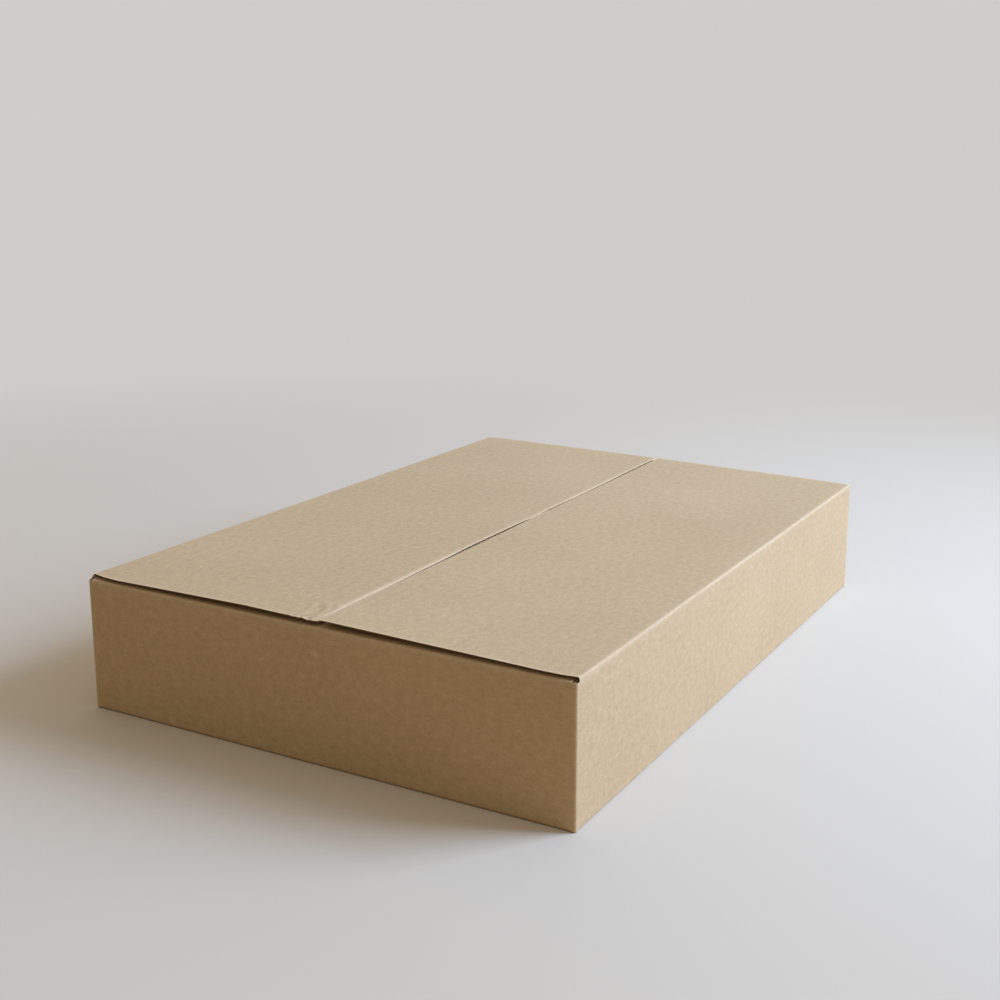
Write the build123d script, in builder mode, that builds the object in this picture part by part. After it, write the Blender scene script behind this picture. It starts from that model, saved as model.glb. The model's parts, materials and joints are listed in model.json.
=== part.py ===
from build123d import *
from math import cos, radians, sin
import os

# Shallow shipping carton, folded from one sheet of single-wall corrugated board, with its top closed.
# X runs across the width, Y along the length and Z up. The origin is the middle of the underside.
# All lengths are in millimetres.

# Outside sizes of the folded box. The height reaches up to the creases of the two long walls.
box_length = 480.0
box_width = 310.0
crease_height = 80.0

# The board, and how far a folded crease rounds off the edge of the box
board = 2.0
fold_radius = 1.5

# The slots that part neighbouring flaps at the corners of the box: how far each flap's end stands
# back from the corner, and how far the slot is cut past the crease
slot_setback = 3.0
slot_depth = 0.5

# The seams where two flaps meet along the middle of the box
top_seam_gap = 2.0
bottom_seam_gap = 1.0

# How far the crease springs each outer top flap up, measured at the seam
left_flap_rise = 2.2
right_flap_rise = 1.2

# Room between the outer top flaps and the board that they lie on
lay_gap = 0.3

# How far an outer top flap folds back, in degrees from closed
flap_swing = 205.0

# The tab that closes the ring of walls, glued inside the left wall at the back corner
glue_tab_width = 35.0

# Places that follow from these sizes
half_width = box_width / 2
half_length = box_length / 2
rim_level = crease_height - board - lay_gap
outer_flap_length = box_length - 2 * slot_setback
inner_flap_width = box_width - 2 * slot_setback
inner_flap_reach = half_width - top_seam_gap / 2
bottom_thickness = 2 * board
inner_flap_underside = rim_level - board

# Each outer top flap turns on the ridge of its crease. Wall and flap bend towards the ridge, and stop
# short of a full quarter turn together by what the flap swings past half a turn.
crease_turn = (90 - (flap_swing - 180)) / 2
crease_radius = fold_radius / (1 - cos(radians(crease_turn)) + sin(radians(crease_turn)))

os.makedirs("parts", exist_ok=True)

with BuildPart() as carton_body:
    # The two long walls, up to the ridges of their creases, with the outer bottom flaps folded in
    with BuildSketch(Plane.XZ) as long_wall_section:
        with BuildLine():
            wall_bend_start = (half_width, crease_height - fold_radius)
            wall_bend = JernArc(wall_bend_start, (0, 1), crease_radius, crease_turn)
            Polyline(
                wall_bend @ 1,
                (half_width - board, crease_height - board),
                (half_width - board, board),
                (bottom_seam_gap / 2, board),
                (bottom_seam_gap / 2, 0),
                (half_width, 0),
                wall_bend @ 0,
            )
        make_face()
        fillet(long_wall_section.vertices().sort_by(Axis((0, 0, 0), (1, -1, 0)))[-1], fold_radius)
        mirror(about=Plane.YZ)
    extrude(amount=outer_flap_length / 2, both=True)

    # The two end walls, which stand on the floor too, with the inner flaps folded in from them: glued
    # down over the ends of the outer flaps at the bottom, loose at the top
    with BuildSketch(Plane.YZ) as end_wall_section:
        Rectangle(box_length, rim_level, align=(Align.CENTER, Align.MIN))
        fillet(end_wall_section.vertices(), fold_radius)
        Rectangle(outer_flap_length, board, align=(Align.CENTER, Align.MIN), mode=Mode.SUBTRACT)
        with Locations((0, bottom_thickness)):
            Rectangle(
                box_length - 2 * board,
                inner_flap_underside - bottom_thickness,
                align=(Align.CENTER, Align.MIN),
                mode=Mode.SUBTRACT,
            )
        with Locations((0, board)):
            Rectangle(
                box_length - 2 * inner_flap_reach,
                rim_level,
                align=(Align.CENTER, Align.MIN),
                mode=Mode.SUBTRACT,
            )
    extrude(amount=inner_flap_width / 2, both=True)

    # The corners between the walls, which stop short at the slots. Three of them are folds.
    with BuildSketch(Plane.XY.offset(slot_depth)) as corner_plan:
        with GridLocations(box_width - slot_setback, box_length - slot_setback, 2, 2):
            Rectangle(slot_setback, slot_setback)
        Rectangle(box_width - 2 * board, box_length - 2 * board, mode=Mode.SUBTRACT)
        outer_corners = corner_plan.vertices().group_by(SortBy.DISTANCE)[-1]
        fillet(outer_corners.sort_by(Axis((0, 0, 0), (1, -1, 0)))[1:], fold_radius)
    extrude(amount=rim_level - 2 * slot_depth)

    # At the back left corner the left wall ends in a cut edge, and the back wall turns in behind it
    # as the glue tab
    with BuildSketch(Plane.XY.offset(bottom_thickness)):
        with Locations((board - half_width, half_length - board)):
            Rectangle(board, glue_tab_width, align=(Align.MIN, Align.MAX))
    extrude(amount=inner_flap_underside - lay_gap - bottom_thickness)
    with BuildSketch(Plane.XY):
        with BuildLine():
            Polyline(
                (board - half_width, half_length),
                (board - half_width + fold_radius, half_length),
                (board - half_width, half_length - fold_radius),
                close=True,
            )
        make_face()
    extrude(amount=rim_level, mode=Mode.SUBTRACT)

carton_body.part.label = "carton_body"
export_step(carton_body.part, "parts/carton_body.step")

# The two outer top flaps. Each one bends in from the ridge of its crease and reaches to the seam.
outer_top_flaps = (
    ("left_top_flap", -1, left_flap_rise),
    ("right_top_flap", 1, right_flap_rise),
)
for flap_name, side, rise in outer_top_flaps:
    with BuildPart() as top_flap:
        with BuildSketch(Plane.XZ):
            with BuildLine():
                flap_bend_start = (side * (half_width - fold_radius), crease_height)
                flap_bend = JernArc(flap_bend_start, (side, 0), crease_radius, -side * crease_turn)
                Polyline(
                    flap_bend @ 1,
                    (side * (half_width - board - lay_gap), crease_height - board),
                    (side * top_seam_gap / 2, crease_height + rise - board),
                    (side * top_seam_gap / 2, crease_height + rise),
                    flap_bend @ 0,
                )
            make_face()
        extrude(amount=outer_flap_length / 2, both=True)
    top_flap.part.label = flap_name
    export_step(top_flap.part, f"parts/{flap_name}.step")
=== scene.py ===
import json
from math import cos, pi, radians, sin

import bmesh
import bpy
import numpy as np
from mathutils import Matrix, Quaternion, Vector


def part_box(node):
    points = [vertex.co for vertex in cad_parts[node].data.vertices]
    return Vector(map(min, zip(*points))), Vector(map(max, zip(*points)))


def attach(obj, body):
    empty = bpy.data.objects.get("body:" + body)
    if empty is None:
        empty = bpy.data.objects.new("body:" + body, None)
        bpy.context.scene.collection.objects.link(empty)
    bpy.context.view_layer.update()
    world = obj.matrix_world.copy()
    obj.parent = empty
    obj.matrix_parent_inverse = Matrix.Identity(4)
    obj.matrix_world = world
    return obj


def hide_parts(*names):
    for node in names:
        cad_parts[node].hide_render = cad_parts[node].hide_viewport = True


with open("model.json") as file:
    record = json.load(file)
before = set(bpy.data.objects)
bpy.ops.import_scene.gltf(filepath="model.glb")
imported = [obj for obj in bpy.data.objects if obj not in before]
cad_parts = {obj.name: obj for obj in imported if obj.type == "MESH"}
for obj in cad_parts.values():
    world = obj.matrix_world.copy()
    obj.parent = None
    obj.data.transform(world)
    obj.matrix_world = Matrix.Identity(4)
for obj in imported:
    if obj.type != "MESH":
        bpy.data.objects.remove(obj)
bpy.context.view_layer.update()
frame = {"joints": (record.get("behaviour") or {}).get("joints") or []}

# The studio floor: a broad round sheet of pale matt paper that the carton stands on. Near the
# carton it takes light and shadow, and further off it fades into the pale backdrop. The light that
# it throws back up onto the carton is warm.
FLOOR_RADIUS = 14.0
FLOOR_SIDES = 96
PAPER_TONE = (0.67, 0.645, 0.60, 1.0)
PAPER_TONE_DEEP = (0.65, 0.625, 0.58, 1.0)
BOUNCE_TONE = (0.56, 0.42, 0.26, 1.0)
PAPER_CLOUD_SCALE = 1.5
PAPER_ROUGHNESS = 0.9
PAPER_GLOSS = 0.2
BACKDROP_TONE = (0.62, 0.61, 0.60, 1.0)
FADE_START = 0.34
FADE_LENGTH = 0.8


class Shade:
    """A socket of a material. Arithmetic on it adds Math nodes, and node() adds any other node."""

    def __init__(self, tree, socket=None):
        self.tree = tree
        self.socket = socket

    def node(self, kind, settings=(), sockets=(), output=0):
        made = self.tree.nodes.new(kind)
        for name, value in dict(settings).items():
            setattr(made, name, value)
        for name, value in dict(sockets).items():
            if isinstance(value, Shade):
                self.tree.links.new(value.socket, made.inputs[name])
            else:
                made.inputs[name].default_value = value
        return Shade(self.tree, made.outputs[output] if made.outputs else None)

    def feeds(self, shader, name):
        """Links this socket to an input of a shader."""
        self.tree.links.new(self.socket, shader.inputs[name])

    def math(self, operation, first, second=0.0, clamp=False):
        settings = {"operation": operation, "use_clamp": clamp}
        return self.node("ShaderNodeMath", settings, {0: first, 1: second})

    def __add__(self, other):
        return self.math("ADD", self, other)

    def __radd__(self, other):
        return self.math("ADD", other, self)

    def __sub__(self, other):
        return self.math("SUBTRACT", self, other)

    def __rsub__(self, other):
        return self.math("SUBTRACT", other, self)

    def __mul__(self, other):
        return self.math("MULTIPLY", self, other)

    def __rmul__(self, other):
        return self.math("MULTIPLY", other, self)

    def clamped(self):
        return self.math("ADD", self, 0.0, clamp=True)

    def over(self, level, softness):
        """0 below level, 1 above level + softness."""
        return self.math("MULTIPLY", self - level, 1 / softness, clamp=True)

    def mixed(self, first, second):
        """A colour between first and second, with this value as the share of second."""
        settings = {"data_type": "RGBA", "clamp_factor": True}
        return self.node("ShaderNodeMix", settings, {0: self, 6: first, 7: second}, output=2)

    def vector(self, operation, second, output=0):
        """This vector with another, through a Vector Math node."""
        return self.node("ShaderNodeVectorMath", {"operation": operation}, {0: self, 1: second}, output)

    def noise(self, scale=1.0, detail=2.0, roughness=0.5):
        """Noise read at this vector."""
        sockets = {"Vector": self, "Scale": scale, "Detail": detail, "Roughness": roughness}
        return self.node("ShaderNodeTexNoise", {}, sockets)

    def seen(self):
        """1 where the camera looks, straight on or by way of gloss or glass."""
        rays = ("Is Camera Ray", "Is Glossy Ray", "Is Transmission Ray")
        straight, gloss, glass = (self.node("ShaderNodeLightPath", output=ray) for ray in rays)
        return (straight + gloss + glass).clamped()


def new_material(name):
    """An empty material, as (material, Shade on its tree, its Principled shader's node)."""
    material = bpy.data.materials.new(name)
    material.use_nodes = True
    tree = material.node_tree
    return material, Shade(tree), tree.nodes["Principled BSDF"]


def new_object(name, mesh, material):
    """Puts a mesh into the scene with its material."""
    mesh.materials.append(material)
    made = bpy.data.objects.new(name, mesh)
    bpy.context.scene.collection.objects.link(made)
    return made


def paper_material():
    material, shade, surface = new_material("floor_paper")
    spot = shade.node("ShaderNodeTexCoord", output="Object")
    paper_tone = spot.noise(PAPER_CLOUD_SCALE).mixed(PAPER_TONE, PAPER_TONE_DEEP)
    shade.seen().mixed(BOUNCE_TONE, paper_tone).feeds(surface, "Base Color")
    surface.inputs["Roughness"].default_value = PAPER_ROUGHNESS
    surface.inputs["Specular IOR Level"].default_value = PAPER_GLOSS
    far = spot.vector("LENGTH", (0.0, 0.0, 0.0), "Value").over(FADE_START, FADE_LENGTH) * shade.seen()
    backdrop = shade.node("ShaderNodeEmission", {}, {"Color": BACKDROP_TONE})
    paper = Shade(shade.tree, surface.outputs[0])
    faded = shade.node("ShaderNodeMixShader", {}, {0: far, 1: paper, 2: backdrop})
    faded.feeds(shade.tree.nodes["Material Output"], "Surface")
    return material


floor_mesh = bpy.data.meshes.new("studio_floor")
floor_angles = [2 * pi * k / FLOOR_SIDES for k in range(FLOOR_SIDES)]
floor_points = [(FLOOR_RADIUS * cos(a), FLOOR_RADIUS * sin(a), 0.0) for a in floor_angles]
floor_mesh.from_pydata(floor_points, [], [list(range(FLOOR_SIDES))])
new_object("studio_floor", floor_mesh, paper_material())

# The light: a warm studio that is bright behind the carton and dim in front of it, and a cool soft
# box to the right and behind. So the top and the right side are pale, and the near end is in shade.
ROOM_BRIGHT = (0.67, 0.55, 0.43, 1.0)
ROOM_DIM = (0.313, 0.262, 0.185, 1.0)
BRIGHT_SIDE = Vector((0.2, 0.9, 0.35)).normalized()
BRIGHT_LEVEL = -0.25
BRIGHT_SOFTNESS = 0.8
SOFT_BOX_PLACE = Vector((1.5, 0.9, 1.11))
SOFT_BOX_TARGET = Vector((0.05, 0.0, 0.05))
SOFT_BOX_SIZE = 1.16
SOFT_BOX_POWER = 49.0
SOFT_BOX_TONE = (0.77, 0.98, 1.30)
scene = bpy.context.scene
scene.view_settings.view_transform = "Standard"
scene.world = bpy.data.worlds.new("studio_room")
scene.world.use_nodes = True
room = Shade(scene.world.node_tree)
room_way = room.node("ShaderNodeTexCoord", output="Generated")
room_side = room_way.vector("DOT_PRODUCT", BRIGHT_SIDE, "Value")
room_light = room_side.over(BRIGHT_LEVEL, BRIGHT_SOFTNESS).mixed(ROOM_DIM, ROOM_BRIGHT)
room.seen().mixed(room_light, BACKDROP_TONE).feeds(room.tree.nodes["Background"], "Color")

soft_box = bpy.data.objects.new("soft_box", bpy.data.lights.new("soft_box", "AREA"))
soft_box.data.shape = "SQUARE"
soft_box.data.size = SOFT_BOX_SIZE
soft_box.data.energy = SOFT_BOX_POWER
soft_box.data.color = SOFT_BOX_TONE
soft_box.location = SOFT_BOX_PLACE
soft_box.rotation_mode = "QUATERNION"
soft_box.rotation_quaternion = (SOFT_BOX_PLACE - SOFT_BOX_TARGET).to_track_quat("Z", "Y")
scene.collection.objects.link(soft_box)

# The camera: a normal lens at table height, looking down a little onto the near right corner.
# Its place, turn and lens are worked out from the corners of the carton in the photograph.
CAMERA_PLACE = (0.4304, -0.8403, 0.3322)
CAMERA_AZIMUTH = radians(28.02)
CAMERA_ELEVATION = radians(14.066)
CAMERA_ROLL = radians(1.433)
CAMERA_LENS = 52.98
CAMERA_SENSOR = 36.0
camera_back = Vector((
    sin(CAMERA_AZIMUTH) * cos(CAMERA_ELEVATION),
    -cos(CAMERA_AZIMUTH) * cos(CAMERA_ELEVATION),
    sin(CAMERA_ELEVATION),
))
camera = bpy.data.objects.new("camera", bpy.data.cameras.new("camera"))
camera.data.sensor_width = CAMERA_SENSOR
camera.data.lens = CAMERA_LENS
camera.location = CAMERA_PLACE
camera.rotation_mode = "QUATERNION"
camera.rotation_quaternion = camera_back.to_track_quat("Z", "Y") @ Quaternion((0, 0, 1), CAMERA_ROLL)
scene.collection.objects.link(camera)
scene.camera = camera

# The board: single-wall corrugated kraft board, two paper liners glued to a fluted sheet between
# them. Every piece of the carton is this board, so it shows flutes at each cut edge.
# Lengths of board are in millimetres, measured on the blank: across the flutes, and along them.
MM = 0.001
BOARD = 2.0
LINER = 0.25
MEDIUM = 0.2
FLUTE_PITCH = 4.2
FLUTE_STEPS = 10
FLUTE_CLEAR_SHARE = 0.004
HALF_DEPTH = 0.5
LINER_SHARE = LINER / BOARD
MEDIUM_SHARE = MEDIUM / BOARD
WELD = 0.000002
SHARP_ANGLE = radians(40)
LONGEST_CELL = 12.0
NARROW_CELL = 0.5
LEAST_SPLIT = 2.0
PLACE_DIGITS = 6
EDGE_CELLS = np.array([0.0, 0.15, 0.35, 0.6, 1.0, 1.6, 2.6, 4.5, 8.0])


class Board:
    """Gathers the liners and flutes of one piece of board, and makes it into an object.

    A piece is laid out by a function place(across, along, depth): the blank's own places, and the
    depth in the board from 0 on its inner face to 1 on its outer face. The marks of a point say how
    far it is rubbed pale at a crease, with a painted highlight there, how far a cut edge has rubbed
    it pale, whether it is a raw cut, and whether it is the fluted sheet."""

    def __init__(self):
        self.points = []
        self.blank = []
        self.marks = []
        self.faces = []
        self.count = 0

    def add(self, points, blank, marks, faces):
        self.points.append(points.reshape(-1, 3))
        self.blank.append(blank.reshape(-1, 2))
        self.marks.append(marks.reshape(-1, 4))
        self.faces.append(faces.reshape(-1, 4) + self.count)
        self.count += points.size // 3

    def slab(self, place, across, along, depths, keep, joined, wear_and_highlight, fluted):
        """A sheet of paper between two depths, with rims where it is cut."""
        s, t = np.meshgrid(across, along)
        blank = np.stack([s, t], -1)
        crease, edge = wear_and_highlight(s, t)
        low, high = (np.broadcast_to(d, s.shape) for d in depths)
        sheets = np.stack([place(s, t, low), place(s, t, high)])
        inside = np.full(s.shape, fluted)
        marks = np.stack([crease, edge, inside, inside], -1)
        index = np.arange(s.size).reshape(s.shape)
        corners = (index[:-1, :-1], index[:-1, 1:], index[1:, 1:], index[1:, :-1])
        cells = np.stack(corners, -1)[keep]
        both = np.concatenate([cells[:, ::-1], cells + s.size])
        self.add(sheets, np.stack([blank] * 2), np.stack([marks] * 2), both)

        padded = np.pad(keep, 1)
        level = padded[1:, 1:-1] != padded[:-1, 1:-1]
        upright = padded[1:-1, 1:] != padded[1:-1, :-1]
        starts = np.concatenate([index[:, :-1][level], index[:-1, :][upright]])
        ends = np.concatenate([index[:, 1:][level], index[1:, :][upright]])
        flat_s, flat_t = s.ravel(), t.ravel()
        cut = ~joined((flat_s[starts] + flat_s[ends]) / 2, (flat_t[starts] + flat_t[ends]) / 2)
        rims = np.stack([starts, ends, ends + s.size, starts + s.size], -1)[cut]
        rim_points = sheets.reshape(-1, 3)[rims]
        rim_blank = blank.reshape(-1, 2)[rims % s.size]
        rim_marks = np.tile([0.0, 0.0, 1.0, fluted], (len(rims), 4, 1))
        self.add(rim_points, rim_blank, rim_marks, np.arange(rims.size))

    def leaf(self, place, across, along, wear_and_highlight, joined, keep=None):
        """Both liners of a stretch of board. joined says where it runs on into other board."""
        if keep is None:
            keep = np.ones((len(along) - 1, len(across) - 1), bool)
        for depths in ((1 - LINER_SHARE, 1.0), (0.0, LINER_SHARE)):
            self.slab(place, across, along, depths, keep, joined, wear_and_highlight, 0.0)

    def flutes(self, place, start, end, along):
        """The fluted sheet between the liners, in whole waves from start to end across them."""
        waves = max(int(round((end - start) / FLUTE_PITCH)), 1)
        across = np.linspace(start, end, waves * FLUTE_STEPS + 1)
        swing = HALF_DEPTH - LINER_SHARE - MEDIUM_SHARE / 2 - FLUTE_CLEAR_SHARE
        middle = HALF_DEPTH - swing * np.cos(2 * pi * waves * (across - start) / (end - start))
        depths = (middle - MEDIUM_SHARE / 2, middle + MEDIUM_SHARE / 2)
        keep = np.ones((len(along) - 1, len(across) - 1), bool)
        self.slab(place, across, np.asarray(along), depths, keep, nowhere, no_wear_or_highlight, 1.0)

    def made(self, name, material):
        mesh = bpy.data.meshes.new(name)
        faces = np.concatenate(self.faces)
        corners = faces.ravel()
        mesh.from_pydata((np.concatenate(self.points) * MM).tolist(), [], faces.tolist())
        blank = mesh.uv_layers.new(name="blank")
        blank.data.foreach_set("uv", (np.concatenate(self.blank) * MM)[corners].ravel())
        marks = mesh.attributes.new("marks", "FLOAT_COLOR", "CORNER")
        marks.data.foreach_set("color", np.concatenate(self.marks)[corners].ravel())
        work = bmesh.new()
        work.from_mesh(mesh)
        bmesh.ops.remove_doubles(work, verts=work.verts, dist=WELD)
        loose = [v for v in work.verts if not v.link_faces]
        bmesh.ops.delete(work, geom=loose, context="VERTS")
        bmesh.ops.recalc_face_normals(work, faces=work.faces)
        work.to_mesh(mesh)
        work.free()
        mesh.shade_smooth()
        mesh.set_sharp_from_angle(angle=SHARP_ANGLE)
        return new_object(name, mesh, material)


def nowhere(s, t):
    return np.zeros(np.shape(s), bool)


def no_wear_or_highlight(s, t):
    return np.zeros(s.shape), np.zeros(s.shape)


def near(distance, width):
    """1 at a line on the board, fading away from it."""
    return np.exp(-((np.asarray(distance) / width) ** 2))


def divided(places, cut_ends=()):
    """Places in order, close together at the cut ends, and nowhere further apart than a cell. A
    narrow cell lies on each side of a long stretch, so that its faces stay flat beside a fold."""
    fringes = [end - EDGE_CELLS for end in cut_ends if end > places[0]]
    fringes += [end + EDGE_CELLS for end in cut_ends if end <= places[0]]
    rough = np.unique(np.round(np.concatenate([places, *fringes]), PLACE_DIGITS))
    out = [rough]
    for a, b in zip(rough[:-1], rough[1:]):
        if b - a > LEAST_SPLIT:
            pieces = int(np.ceil((b - a - 2 * NARROW_CELL) / LONGEST_CELL))
            out.append(np.linspace(a + NARROW_CELL, b - NARROW_CELL, pieces + 1))
    return np.sort(np.concatenate(out))


def arc(centre, radius, start, end, count):
    """Points on a circle, from one angle to another in degrees."""
    angles = np.radians(np.linspace(start, end, count))
    return [(centre[0] + radius * cos(a), centre[1] + radius * sin(a)) for a in angles]


class Fold:
    """A folded line of board: its outer and inner face point by point, and the place of each point
    along the blank, counted so that the point number `level` lies at `at`."""

    def __init__(self, outer, inner, level, at):
        self.outer = np.array(outer, float)
        self.inner = np.array(inner, float)
        middle = (self.outer + self.inner) / 2
        steps = np.linalg.norm(np.diff(middle, axis=0), axis=1)
        self.places = np.concatenate([[0.0], np.cumsum(steps)])
        self.places += at - self.places[level]

    def at(self, place, depth):
        both = []
        for k in (0, 1):
            outer = np.interp(place, self.places, self.outer[:, k])
            inner = np.interp(place, self.places, self.inner[:, k])
            both.append(inner * (1 - depth) + outer * depth)
        return both


KRAFT_DEEP = (0.448, 0.333, 0.198, 1.0)
KRAFT_PALE = (0.628, 0.489, 0.318, 1.0)
FLECK_DARK = (0.33, 0.22, 0.13, 1.0)
FLECK_PALE = (0.74, 0.60, 0.44, 1.0)
# Rubbed creases and scuffs take this pale, and along the creases it also paints a highlight
RUB_AND_HIGHLIGHT_PALE = (0.75, 0.635, 0.48, 1.0)
EDGE_PALE = (0.64, 0.51, 0.345, 1.0)
CUT_EDGE = (0.60, 0.44, 0.28, 1.0)
FLUTE_PAPER = (0.40, 0.26, 0.14, 1.0)
NOISE_MIDDLE = 0.5
GRAIN_DETAIL = 3.0
GRAIN_ROUGHNESS = 0.6
FIBRE_SCALE = (480.0, 1300.0, 1.0)
FIBRE_SHARE = 1.2
FELT_SCALE = (190.0, 270.0, 1.0)
FELT_SHARE = 1.3
CLOUD_SCALE = 11.0
CLOUD_SHARE = 0.5
FLECK_DETAIL = 1.0
FLECK_SOFTNESS = 0.08
DARK_FLECK_SCALE = (700.0, 1700.0, 1.0)
DARK_FLECK_LEVEL = 0.70
DARK_FLECK_SHARE = 0.5
PALE_FLECK_SCALE = (520.0, 2100.0, 2.0)
PALE_FLECK_LEVEL = 0.71
PALE_FLECK_SHARE = 0.35
RUB_AND_HIGHLIGHT_SCALE = 55.0
CREASE_RUB_AND_HIGHLIGHT_GAIN = 1.2
CREASE_RUB_AND_HIGHLIGHT_BASE = 0.3
EDGE_RUB_BASE = 0.2
# Scuffs on the near end wall: the middle of each and its reach, in metres in the carton's frame
SCUFF_PLACES = ((0.0035, -0.24, 0.063), (0.0607, -0.24, 0.0415), (-0.071, -0.24, 0.012))
SCUFF_SIZES = ((0.0035, 0.004, 0.0025), (0.0008, 0.004, 0.006), (0.006, 0.004, 0.0015))
SCUFF_STRENGTH = 0.8
FUZZ_TINT = (1.0, 0.98, 0.95, 1.0)
FUZZ_WEIGHT = 0.05
FUZZ_ROUGHNESS = 0.5
LINER_GLOSS = 0.3
LINER_ROUGHNESS = 0.62
ROUGHNESS_SWING = 0.20
WASHBOARD_HEIGHT = 0.10
GRAIN_HEIGHT = 0.35
BUMP_STRENGTH = 0.35
BUMP_DISTANCE = 0.0002


def kraft_material():
    material, shade, surface = new_material("kraft_board")
    blank = shade.node("ShaderNodeUVMap", {"uv_map": "blank"})
    spot = shade.node("ShaderNodeTexCoord", output="Object")
    marks = shade.node("ShaderNodeAttribute", {"attribute_name": "marks"})
    crease, edge, raw = (
        shade.node("ShaderNodeSeparateColor", {}, {"Color": marks}, part)
        for part in ("Red", "Green", "Blue")
    )
    flute = shade.node("ShaderNodeAttribute", {"attribute_name": "marks"}, output="Alpha")

    # Fibres lie across the flutes, the way that the paper ran through the machine
    grain = {"detail": GRAIN_DETAIL, "roughness": GRAIN_ROUGHNESS}
    fibre = blank.vector("MULTIPLY", FIBRE_SCALE).noise(**grain)
    felt = blank.vector("MULTIPLY", FELT_SCALE).noise(**grain)
    cloud = spot.noise(CLOUD_SCALE, GRAIN_DETAIL)
    tone = (felt - NOISE_MIDDLE) * FELT_SHARE + (cloud - NOISE_MIDDLE) * CLOUD_SHARE
    tone = tone + (fibre - NOISE_MIDDLE) * FIBRE_SHARE
    colour = (tone + NOISE_MIDDLE).clamped().mixed(KRAFT_DEEP, KRAFT_PALE)
    dark = blank.vector("MULTIPLY", DARK_FLECK_SCALE).noise(detail=FLECK_DETAIL)
    dark = dark.over(DARK_FLECK_LEVEL, FLECK_SOFTNESS)
    colour = (dark * DARK_FLECK_SHARE).mixed(colour, FLECK_DARK)
    pale = blank.vector("MULTIPLY", PALE_FLECK_SCALE).noise(detail=FLECK_DETAIL)
    pale = pale.over(PALE_FLECK_LEVEL, FLECK_SOFTNESS)
    colour = (pale * PALE_FLECK_SHARE).mixed(colour, FLECK_PALE)

    # Creases are rubbed pale and carry a painted highlight, and cut edges are rubbed pale, unevenly
    rub_and_highlight_noise = spot.noise(RUB_AND_HIGHLIGHT_SCALE, **grain)
    colour = (crease * (rub_and_highlight_noise * CREASE_RUB_AND_HIGHLIGHT_GAIN + CREASE_RUB_AND_HIGHLIGHT_BASE)).clamped().mixed(colour, RUB_AND_HIGHLIGHT_PALE)
    colour = (edge * (rub_and_highlight_noise + EDGE_RUB_BASE)).clamped().mixed(colour, EDGE_PALE)
    for scuff_place, scuff_size in zip(SCUFF_PLACES, SCUFF_SIZES):
        offset = spot.vector("SUBTRACT", scuff_place).vector("DIVIDE", scuff_size)
        reach = (1 - offset.vector("LENGTH", (0.0, 0.0, 0.0), "Value")).clamped()
        colour = (reach * rub_and_highlight_noise * SCUFF_STRENGTH).mixed(colour, RUB_AND_HIGHLIGHT_PALE)
    colour = raw.mixed(colour, CUT_EDGE)
    flute.mixed(colour, FLUTE_PAPER).feeds(surface, "Base Color")

    roughness = LINER_ROUGHNESS + (fibre - NOISE_MIDDLE) * ROUGHNESS_SWING
    roughness.clamped().feeds(surface, "Roughness")
    surface.inputs["Specular IOR Level"].default_value = LINER_GLOSS
    surface.inputs["Sheen Weight"].default_value = FUZZ_WEIGHT
    surface.inputs["Sheen Roughness"].default_value = FUZZ_ROUGHNESS
    surface.inputs["Sheen Tint"].default_value = FUZZ_TINT

    # The liner shows the flutes under it as a faint washboard
    waves = blank.vector("MULTIPLY", (2 * pi / (FLUTE_PITCH * MM), 0.0, 0.0))
    washboard = shade.math("SINE", shade.node("ShaderNodeSeparateXYZ", {}, {"Vector": waves}))
    height = washboard * WASHBOARD_HEIGHT + fibre * GRAIN_HEIGHT + felt * GRAIN_HEIGHT
    bump = {"Strength": BUMP_STRENGTH, "Distance": BUMP_DISTANCE, "Height": height}
    shade.node("ShaderNodeBump", {}, bump).feeds(surface, "Normal")
    return material


kraft = kraft_material()

# The carton body: two long walls and two end walls folded from one blank, closed into a ring by a
# tab that is glued inside the back left corner. The end walls carry the inner flaps, loose at the
# top and glued down at the bottom. The long walls carry the outer bottom flaps.
body_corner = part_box("carton_body")[1] / MM
flap_low, flap_high = (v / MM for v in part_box("right_top_flap"))
ridge_x, _, ridge_z = frame["joints"][1]["pos_m"]
HALF_WIDTH = body_corner.x
HALF_LENGTH = body_corner.y
RIDGE_INSET = HALF_WIDTH - ridge_x / MM
RIDGE_LEVEL = ridge_z / MM
CREASE_LEVEL = RIDGE_LEVEL + RIDGE_INSET
LAY_GAP = 0.1
RIM_LEVEL = CREASE_LEVEL - BOARD - LAY_GAP
FOLD_RADIUS = 1.5
INNER_RADIUS = 0.5
FOLD_POINTS = 6
CORNER_POINTS = 5
SLOT = HALF_LENGTH - flap_high.y
SLOT_LOW = 0.7
SLOT_CUT = 0.4
SLOT_TOP = RIM_LEVEL - SLOT_CUT
BOTTOM_SEAM = 1.0
FLAP_REACH = HALF_WIDTH - flap_low.x
GLUE = 0.05
TAB_WIDTH = 35.0
RIDGE_TURN = 31.0
RIDGE_RADIUS = RIDGE_INSET / (1 - cos(radians(RIDGE_TURN)))
RIDGE_SPAN = RIDGE_RADIUS * sin(radians(RIDGE_TURN))
MITRE_ROOM = 0.15
MITRE_IN = 0.28
MITRE_DOWN = 0.36
MITRE_POINTS = 5
FLOOR_CLEAR = 0.2
BEAD_POINTS = 8
BEAD_END_SHARE = 1.35
FLAT_FROM_SHARE = 2.0
FRAY = 14.0
HOLLOW = 4.0
LEAN = 2.4
BULGE = 0.5
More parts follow.
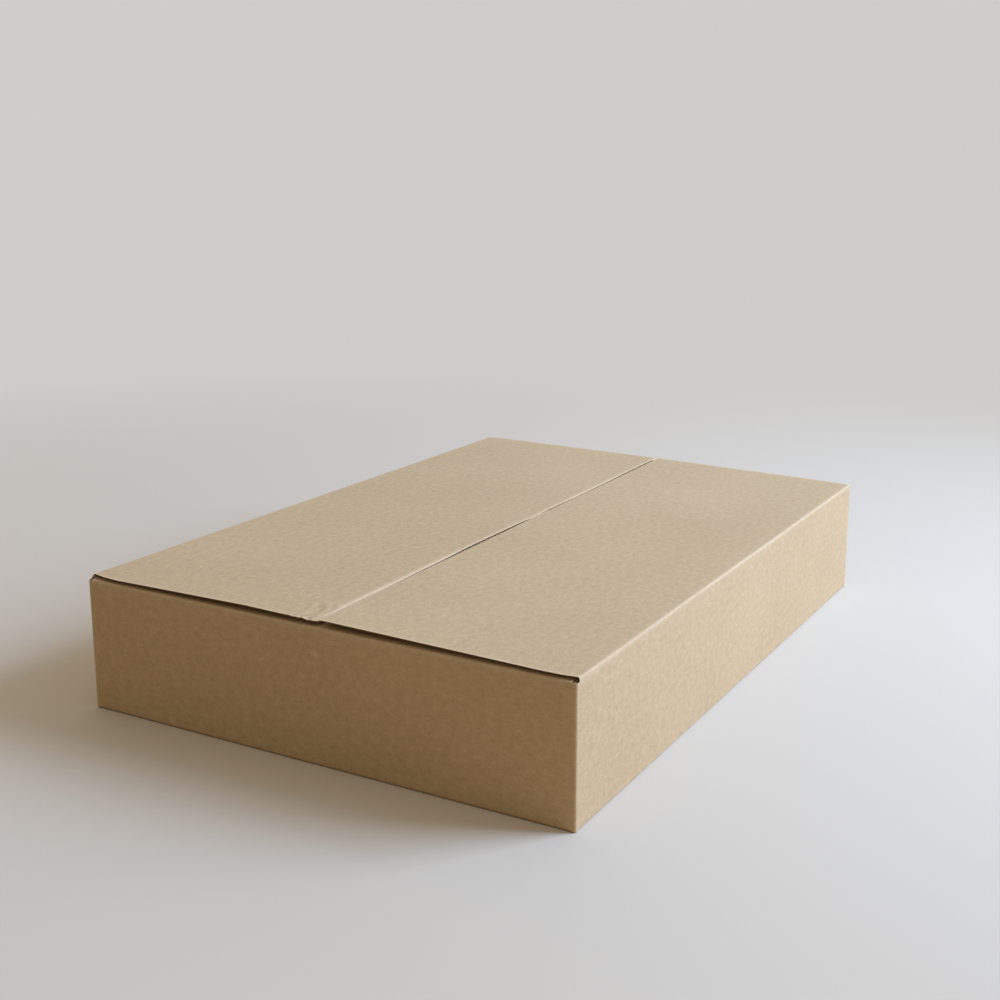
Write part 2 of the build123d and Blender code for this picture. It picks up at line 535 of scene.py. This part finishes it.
# The pale line along a top crease is partly rub and partly painted highlight; the faint band beside it
# and the wander of the line are painted highlight
RIDGE_RUB_AND_HIGHLIGHT_WIDTH = 1.3
RIDGE_HIGHLIGHT_BAND_WIDTH = 3.2
RIDGE_HIGHLIGHT_BAND_SHARE = 0.3
RIDGE_RUB_AND_HIGHLIGHT_SHARE = 0.3
RIDGE_RUB_AND_HIGHLIGHT_ROWS = (1.5, 1.9, 2.7, 3.4, 4.4)
RIDGE_PLACES = (
    -240.0, -204.0, -167.0, -111.0, -65.0, -30.0, 0.0, 26.0, 50.0, 90.0, 113.0, 162.0, 240.0,
)
RIDGE_HIGHLIGHT_WANDER = (0.9, 1.2, 1.0, 0.5, 0.2, 0.5, 0.3, 0.7, 0.95, 0.7, 0.2, 0.15, 0.0)
# The pale along the other creases and the upright corners is partly rub and partly painted highlight
CREASE_RUB_AND_HIGHLIGHT_WIDTH = 0.9
CREASE_RUB_AND_HIGHLIGHT_SHARE = 0.15
CORNER_RUB_AND_HIGHLIGHT_SHARE = 0.25
EDGE_RUB = 0.9
END_REACH = 12.0
LEFT_TIP = 2.0
TINY = 0.01

bottom_join = 2 * BOARD + GLUE + INNER_RADIUS
top_join = RIM_LEVEL - BOARD - INNER_RADIUS
bead = SLOT / 2 - FLOOR_CLEAR / 2
bead_centre = (bead, bead + FLOOR_CLEAR)
inner_floor = BOARD + GLUE
inside_floor = inner_floor + BOARD
ridge_start = RIDGE_LEVEL - RIDGE_SPAN
post_rows = divided([SLOT_LOW, BOARD + INNER_RADIUS, bottom_join, top_join, SLOT_TOP])
flap_points = (FLAP_REACH, FLAT_FROM_SHARE * SLOT, BEAD_END_SHARE * SLOT)

# An end wall, from the free edge of its bottom flap, round the crease, up the wall and out along the
# top flap. Each point is how far it lies inward from the outside of the wall, and how far up.
end_wall = Fold(
    outer=[
        *((inward, inner_floor) for inward in flap_points),
        *arc(bead_centre, bead, 360, 180, BEAD_POINTS),
        (0, bottom_join),
        (0, top_join),
        *arc((FOLD_RADIUS, RIM_LEVEL - FOLD_RADIUS), FOLD_RADIUS, 180, 90, FOLD_POINTS),
        (FLAP_REACH, RIM_LEVEL),
    ],
    inner=[
        *((inward, inside_floor) for inward in flap_points),
        *arc((BOARD + INNER_RADIUS, bottom_join), INNER_RADIUS, 270, 180, BEAD_POINTS + 1),
        (BOARD, top_join),
        *arc((BOARD + INNER_RADIUS, top_join), INNER_RADIUS, 170, 90, FOLD_POINTS),
        (FLAP_REACH, RIM_LEVEL - BOARD),
    ],
    level=len(flap_points) + BEAD_POINTS,
    at=bottom_join,
)

# A long wall, from the seam under the bottom, round the crease and up to the ridge of the top crease.
# Under the ridge it is cut back along a mitre, so that the flap can turn.
mitre_start = (BOARD - MITRE_ROOM, CREASE_LEVEL - BOARD)
mitre_end = (RIDGE_INSET + MITRE_IN, RIDGE_LEVEL - MITRE_DOWN)
long_wall = Fold(
    outer=[
        (HALF_WIDTH - BOTTOM_SEAM / 2, 0),
        *arc((FOLD_RADIUS, FOLD_RADIUS), FOLD_RADIUS, 270, 180, FOLD_POINTS),
        (0, BOARD + INNER_RADIUS),
        (0, bottom_join),
        (0, top_join),
        (0, SLOT_TOP),
        *arc((RIDGE_RADIUS, ridge_start), RIDGE_RADIUS, 180, 180 - RIDGE_TURN, FOLD_POINTS),
    ],
    inner=[
        (HALF_WIDTH - BOTTOM_SEAM / 2, BOARD),
        *arc((BOARD + INNER_RADIUS, BOARD + INNER_RADIUS), INNER_RADIUS, 270, 180, FOLD_POINTS + 1),
        (BOARD, bottom_join),
        (BOARD, top_join),
        (BOARD, SLOT_TOP),
        (BOARD, CREASE_LEVEL - BOARD - INNER_RADIUS),
        *np.linspace(mitre_start, mitre_end, MITRE_POINTS).tolist(),
    ],
    level=FOLD_POINTS + 2,
    at=bottom_join,
)

# The points in the middle of the lower and the upper crease of each wall
END_CREASES = (7, 15)
LONG_CREASES = (3, 16)


def corner_plan(half, kind):
    """The line of a wall from its slot to its end, seen from above: along the wall, and inward.
    A fold is half of a corner, a cut ends in a raw edge, and a tab turns in behind the next wall."""
    slot = half - SLOT
    if kind == "cut":
        return Fold([(slot, 0), (half, 0)], [(slot, BOARD), (half, BOARD)], 0, slot)
    turned = 45 if kind == "fold" else 90
    if kind == "tab":
        half = half - BOARD - GLUE
        slot = half - SLOT
    outer = [
        (slot, 0),
        *arc((half - FOLD_RADIUS, FOLD_RADIUS), FOLD_RADIUS, 270, 270 + turned, CORNER_POINTS),
    ]
    inner_middle = (half - BOARD - INNER_RADIUS, BOARD + INNER_RADIUS)
    inner = [(slot, BOARD), *arc(inner_middle, INNER_RADIUS, 270, 270 + turned, CORNER_POINTS)]
    if kind == "tab":
        outer.append((half, FOLD_RADIUS + TAB_WIDTH))
        inner.append((half - BOARD, FOLD_RADIUS + TAB_WIDTH))
    return Fold(outer, inner, 0, slot)


def on_wall(origin, along_wall, inward):
    """Turns (along the wall, inward, up) into the carton's own frame. The carton stands a little
    out of square: its underside lies to the right of its top."""
    origin, along_wall, inward = (np.array(v, float) for v in (origin, along_wall, inward))

    def turn(e, a, z):
        flat = origin + e[..., None] * along_wall + a[..., None] * inward
        lean = LEAN * (1 - z / RIDGE_LEVEL)
        return flat + np.stack([lean, 0 * z, z], -1)

    return turn


def smooth_line(places, values, y):
    """A smooth line through values at places in order."""
    spread = np.interp(y, places, np.arange(len(places)))
    first = np.clip(np.floor(spread).astype(int), 0, len(places) - 2)
    share = spread - first
    share = share * share * (3 - 2 * share)
    values = np.array(values)
    return values[first] * (1 - share) + values[first + 1] * share


def ridge_rub_and_highlight(above, y):
    """How pale a top crease is rubbed and painted as a highlight, by how far above the ridge it lies on
    the blank: a narrow line of rub and painted highlight that wanders down onto the wall, painting
    the highlight of a wavy ridge, with a faint band of painted highlight beside it."""
    off = above + smooth_line(RIDGE_PLACES, RIDGE_HIGHLIGHT_WANDER, y)
    line = (1 - RIDGE_HIGHLIGHT_BAND_SHARE) * near(off, RIDGE_RUB_AND_HIGHLIGHT_WIDTH)
    return RIDGE_RUB_AND_HIGHLIGHT_SHARE * (line + RIDGE_HIGHLIGHT_BAND_SHARE * near(off, RIDGE_HIGHLIGHT_BAND_WIDTH))


def add_wall(board, turn, half, section, crease_points, joins, ends, tip=0.0):
    """One wall with its flaps, and its share of the two corners. A long wall ends in the ridge of its
    top crease. Above the slot the far end of the wall stands back by the tip."""
    creases = section.places[list(crease_points)]
    free_ends = [p for p in section.places[[0, -1]] if np.abs(p - creases).min() > FRAY]
    has_ridge = len(free_ends) == 1
    ridge_rub_and_highlight_rows = section.places[-1] - np.array(RIDGE_RUB_AND_HIGHLIGHT_ROWS)
    rows = divided(np.sort([*section.places, *ridge_rub_and_highlight_rows]), free_ends)
    plans = [corner_plan(half, kind) for kind in ends]
    edges = [-plans[0].places[0], plans[1].places[0]]
    columns = divided(edges, edges)

    def place(s, t, depth):
        a, z = section.at(t, depth)
        up = np.clip((t - creases[0]) / (creases[1] - creases[0]), 0, 1)
        a = a - BULGE * np.sin(pi * up) * np.cos(pi * s / (edges[1] - edges[0])).clip(0, 1)
        over_slot = np.clip((t - joins[1]) / (section.places[-1] - joins[1]), 0, 1)
        near_end = np.clip(1 - (edges[1] - s) / END_REACH, 0, 1)
        return turn(s - tip * over_slot * near_end, a, z)

    def wear_and_highlight(s, t):
        # Creases: rubbed pale, with a painted highlight along them
        crease = CREASE_RUB_AND_HIGHLIGHT_SHARE * sum(near(t - c, CREASE_RUB_AND_HIGHLIGHT_WIDTH) for c in creases)
        if has_ridge:
            crease = crease + ridge_rub_and_highlight(t - section.places[-1], turn(s, 0 * s, 0 * s)[..., 1])
        free = sum(near(t - f, EDGE_RUB) for f in free_ends)
        outside = (t < joins[0]) | (t > joins[1])
        sides = near(s - edges[0], EDGE_RUB) + near(s - edges[1], EDGE_RUB)
        return np.clip(crease, 0, 1), np.clip(free + sides * outside, 0, 1)

    def joined(s, t):
        at_side = (s < edges[0] + TINY) | (s > edges[1] - TINY)
        return at_side & (t > joins[0]) & (t < joins[1])

    board.leaf(place, columns, rows, wear_and_highlight, joined)
    for free in free_ends:
        inward = 1 if free == section.places[0] else -1
        board.flutes(place, edges[0] + HOLLOW, edges[1] - HOLLOW, sorted([free, free + inward * FRAY]))
        flap_end = creases[0] if inward == 1 else creases[1]
        strip = [r for r in rows if FRAY < inward * (r - free) < inward * (flap_end - free) - HOLLOW]
        for side_start in (edges[0] + HOLLOW, edges[1] - HOLLOW - FLUTE_PITCH):
            board.flutes(place, side_start, side_start + FLUTE_PITCH, strip)

    for plan, kind, side in zip(plans, ends, (-1, 1)):
        add_corner(board, turn, plan, kind, side, joins)


def add_corner(board, turn, plan, kind, side, joins):
    """The board of a wall from its slot to its end."""
    columns = divided(plan.places)
    fold_end = plan.places[CORNER_POINTS] if kind == "tab" else plan.places[-1]

    def place(s, t, depth):
        e, a = plan.at(s, depth)
        return turn(side * e, a, t + 0 * e)

    def wear_and_highlight(s, t):
        # The upright corner's crease is rubbed pale, with a painted highlight
        corner = CORNER_RUB_AND_HIGHLIGHT_SHARE * near(s - plan.places[-1], CREASE_RUB_AND_HIGHLIGHT_WIDTH) if kind == "fold" else 0 * s
        cut = near(t - post_rows[0], EDGE_RUB) + near(t - post_rows[-1], EDGE_RUB)
        if kind != "fold":
            cut = cut + near(s - plan.places[-1], EDGE_RUB)
        return corner, np.clip(cut, 0, 1)

    def joined(s, t):
        at_slot = (s < columns[0] + TINY) & (t > joins[0]) & (t < joins[1])
        at_fold = (s > columns[-1] - TINY) & (kind == "fold")
        return at_slot | at_fold

    middle_s = (columns[:-1] + columns[1:]) / 2
    middle_t = (post_rows[:-1] + post_rows[1:]) / 2
    tall = (middle_t < bottom_join) | (middle_t > top_join)
    keep = ~(tall[:, None] & (middle_s > fold_end)[None, :])
    board.leaf(place, columns, post_rows, wear_and_highlight, joined, keep)
    if kind != "fold":
        rows = [bottom_join, top_join] if kind == "tab" else [SLOT_LOW, SLOT_TOP]
        board.flutes(place, plan.places[-1] - SLOT, plan.places[-1], rows)


body_board = Board()
end_joins = (bottom_join - TINY, top_join + TINY)
long_joins = (BOARD + INNER_RADIUS - TINY, SLOT_TOP + TINY)
front_turn = on_wall((0, -HALF_LENGTH, 0), (1, 0, 0), (0, 1, 0))
right_turn = on_wall((HALF_WIDTH, 0, 0), (0, 1, 0), (-1, 0, 0))
back_turn = on_wall((0, HALF_LENGTH, 0), (-1, 0, 0), (0, -1, 0))
left_turn = on_wall((-HALF_WIDTH, 0, 0), (0, -1, 0), (1, 0, 0))
add_wall(body_board, front_turn, HALF_WIDTH, end_wall, END_CREASES, end_joins, ("fold", "fold"))
add_wall(body_board, right_turn, HALF_LENGTH, long_wall, LONG_CREASES, long_joins, ("fold", "fold"))
add_wall(body_board, back_turn, HALF_WIDTH, end_wall, END_CREASES, end_joins, ("fold", "tab"))
add_wall(
    body_board, left_turn, HALF_LENGTH, long_wall, LONG_CREASES, long_joins, ("cut", "fold"), LEFT_TIP
)
carton_piece = body_board.made("carton_walls", kraft)
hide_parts("carton_body")
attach(carton_piece, "carton")

# The two outer top flaps: each one is the top of a long wall, bent in at its crease, whose spring
# holds it up a little towards the seam. The knife has crushed the seam edge to a rounded nose and cut
# the ends aslant. The seam runs askew, and the left flap's near corner is bent down and crumpled.
FLAP_HALF = flap_high.y
RISE_START = 1.5
FLAT_START = 9.0
NOSE = 3.2
NOSE_LIFT = 0.2
END_SLANT = 3.0
END_GROWTH = 2.2
GROWTH_START = 12.0
TIP_END = 15.0
END_RUB = 2.2
SEAM_RUB = 1.6
FLAP_MITRE_IN = 0.34
FLAP_MITRE_DOWN = 0.24
FLAP_MITRE_ROOM = 0.35
FLAP_MITRE_LIFT = 0.05
LEFT_CORNER = 4.0
RIGHT_CORNER = 2.0
CORNER_FADE = 3.0
BEND_START_SHARE = 0.7
BEND_REACH = 24.0
LEFT_BEND = 1.5
LEFT_CRUMPLE = 0.45
CRUMPLE_REACH = 30.0
CRUMPLE_WIDTH = 24.0
DENT_LENGTH = 3.4
DENT_WIDTH = 1.1
LONG_SWAY = 0.9
LONG_SWAY_RATE = 0.7
WIDE_RATE = 0.8
WIDE_SWAY = 1.1
WIDE_SWAY_RATE = 0.6
CRUMPLE_CELL = 1.2
CRUMPLE_RUB_SHARE = 0.6
CRUMPLED_FLUTES = 7
PRESSED_SHARE = 0.15
# Rows beside the crease, so that its rub and painted highlight show
RUB_AND_HIGHLIGHT_ROWS = (2.0, 2.8, 3.8, 5.0, 7.0)
SEAM_PLACES = (-FLAP_HALF, -172.0, -120.0, -60.0, 0.0, 18.0, 40.0, 85.0, 130.0, 190.0, FLAP_HALF)
SEAM_MIDDLE = (4.4, 3.1, 2.0, 1.2, 0.6, 0.4, 0.1, -0.3, -0.7, -1.6, -2.4)
SEAM_GAP = (0.9, 0.8, 1.1, 2.5, 1.8, 0.3, 1.5, 0.9, 1.0, 1.7, 1.6)
LEFT_RISE = (2.5, 2.3, 1.9, 1.5, 1.35, 1.3, 1.2, 1.3, 1.1, 0.8, 0.6)
RIGHT_RISE = (2.2, 1.6, 1.3, 1.4, 1.35, 1.3, 1.2, 0.9, 0.8, 0.8, 0.6)
LEFT_NOSE = (1.3, 1.3, 0.9, 0.4, 0.4, 0.7, 0.5, 0.8, 0.6, 0.4, 0.4)
RIGHT_NOSE = (0.2, 0.2, 0.25, 0.3, 0.3, 0.3, 0.3, 0.3, 0.3, 0.3, 0.3)
flap_bend_middle = (RIDGE_INSET + RIDGE_SPAN, CREASE_LEVEL - RIDGE_RADIUS)
flap_bend = arc(flap_bend_middle, RIDGE_RADIUS, 90 + RIDGE_TURN, 90, MITRE_POINTS)
flap_mitre_start = (RIDGE_INSET + FLAP_MITRE_IN, RIDGE_LEVEL - FLAP_MITRE_DOWN)
flap_mitre_end = (BOARD + FLAP_MITRE_ROOM, CREASE_LEVEL - BOARD + FLAP_MITRE_LIFT)
flap_mitre = np.linspace(flap_mitre_start, flap_mitre_end, MITRE_POINTS).tolist()


def rounding(distance, reach):
    """How far a rounded edge falls away, from 0 at `reach` from the edge to 1 at the edge."""
    return 1 - np.sqrt(1 - np.clip(1 - distance / reach, 0, 1) ** 2)


def dents(s, t):
    """Small uneven dents, from -1 to 1: waves along and across the flap, each swayed by the other."""
    u, v = s / DENT_LENGTH, t / DENT_WIDTH
    long_waves = np.sin(u + LONG_SWAY * np.sin(LONG_SWAY_RATE * v))
    wide_waves = np.sin(WIDE_RATE * v + WIDE_SWAY * np.sin(WIDE_SWAY_RATE * u))
    return long_waves * wide_waves


def add_flap(name, side, body, node, rise, nose_drop, corner_radius, tip=0.0, bend=0.0, crumple=0.0):
    """One outer top flap, to the left (-1) or to the right (1) of the seam. Its near end stands back
    from the slot by the tip at the crease, and its near corner at the seam is rounded, bent down and
    crumpled."""
    board = Board()
    section = Fold(
        outer=[*flap_bend, (FLAT_START, CREASE_LEVEL), (FLAP_REACH, CREASE_LEVEL)],
        inner=[*flap_mitre, (FLAT_START, CREASE_LEVEL - BOARD), (FLAP_REACH, CREASE_LEVEL - BOARD)],
        level=0,
        at=0.0,
    )
    length = section.places[-1]
    crumple_rows = length - np.arange(0, CRUMPLE_WIDTH, CRUMPLE_CELL)
    crumple_columns = np.arange(0, CRUMPLE_REACH, CRUMPLE_CELL) - FLAP_HALF
    rows = divided(np.sort([*section.places, *RUB_AND_HIGHLIGHT_ROWS, *crumple_rows]), [length])
    columns = divided([*crumple_columns, FLAP_HALF], [-FLAP_HALF, FLAP_HALF])

    def crushed(s, t):
        """1 at the crumpled corner, and from halfway fading to 0 at the end of its reach."""
        near_end = np.clip(2 - 2 * (s + FLAP_HALF) / CRUMPLE_REACH, 0, 1)
        near_seam = np.clip(2 - 2 * (length - t) / CRUMPLE_WIDTH, 0, 1)
        return near_end * near_seam * (crumple > 0)

    def place(s, t, depth):
        a, z = section.at(t, depth)
        share = np.clip((a - RISE_START) / (FLAP_REACH - RISE_START), 0, 1)
        seam = smooth_line(SEAM_PLACES, SEAM_MIDDLE, s)
        edge = seam + side * smooth_line(SEAM_PLACES, SEAM_GAP, s) / 2
        a = a + (HALF_WIDTH - side * edge - FLAP_REACH) * share
        nose = rounding(length - t, NOSE)
        z = z + smooth_line(SEAM_PLACES, rise, s) * share
        bent = np.clip((share - BEND_START_SHARE) / (1 - BEND_START_SHARE), 0, 1)
        z = z - bend * bent * np.clip(1 - (s + FLAP_HALF) / BEND_REACH, 0, 1) ** 2
        z = z + crumple * crushed(s, t) * dents(s, t)
        z = z + nose * (NOSE_LIFT * (1 - depth) - smooth_line(SEAM_PLACES, nose_drop, s) * depth)
        front = np.clip(1 - (s + FLAP_HALF) / (CORNER_FADE * corner_radius), 0, 1)
        y = s + corner_radius * rounding(length - t, corner_radius) * front
        at_end = np.clip(1 - (FLAP_HALF - np.abs(s)) / END_REACH, 0, 1)
        growth = END_GROWTH * np.clip(t / GROWTH_START, 0, 1) - END_SLANT * (1 - depth)
        y = y + np.sign(s) * at_end * growth
        y = y + tip * at_end * (s < 0) * np.clip(1 - t / TIP_END, 0, 1)
        return np.stack([side * (HALF_WIDTH - a), y, z], -1)

    def wear_and_highlight(s, t):
        cut = near(t - length, SEAM_RUB) + near(FLAP_HALF - np.abs(s), END_RUB)
        cut = cut + CRUMPLE_RUB_SHARE * crushed(s, t) * np.clip(dents(s, t), 0, 1)
        # The crease mark is the ridge's rub and painted highlight
        return ridge_rub_and_highlight(t, s), np.clip(cut, 0, 1)

    def pressed(s, t, depth):
        flatter = 1 - PRESSED_SHARE * crushed(s, t)
        return place(s, t, HALF_DEPTH + (depth - HALF_DEPTH) * flatter)

    board.leaf(place, columns, rows, wear_and_highlight, nowhere)
    corner_end = HOLLOW - FLAP_HALF + CRUMPLED_FLUTES * FLUTE_PITCH
    board.flutes(pressed, HOLLOW - FLAP_HALF, corner_end, [r for r in rows if r > length - FRAY])
    board.flutes(place, corner_end, FLAP_HALF - HOLLOW, length - np.array([FRAY, NOSE, 0.0]))
    strip = [r for r in rows if HOLLOW < r < length - FRAY]
    for strip_start in (HOLLOW - FLAP_HALF, FLAP_HALF - HOLLOW - FLUTE_PITCH):
        board.flutes(pressed, strip_start, strip_start + FLUTE_PITCH, strip)
    piece = board.made(name, kraft)
    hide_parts(node)
    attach(piece, body)


add_flap(
    "left_outer_flap", -1, "left_flap", "left_top_flap", LEFT_RISE, LEFT_NOSE, LEFT_CORNER,
    tip=LEFT_TIP, bend=LEFT_BEND, crumple=LEFT_CRUMPLE,
)
add_flap("right_outer_flap", 1, "right_flap", "right_top_flap", RIGHT_RISE, RIGHT_NOSE, RIGHT_CORNER)
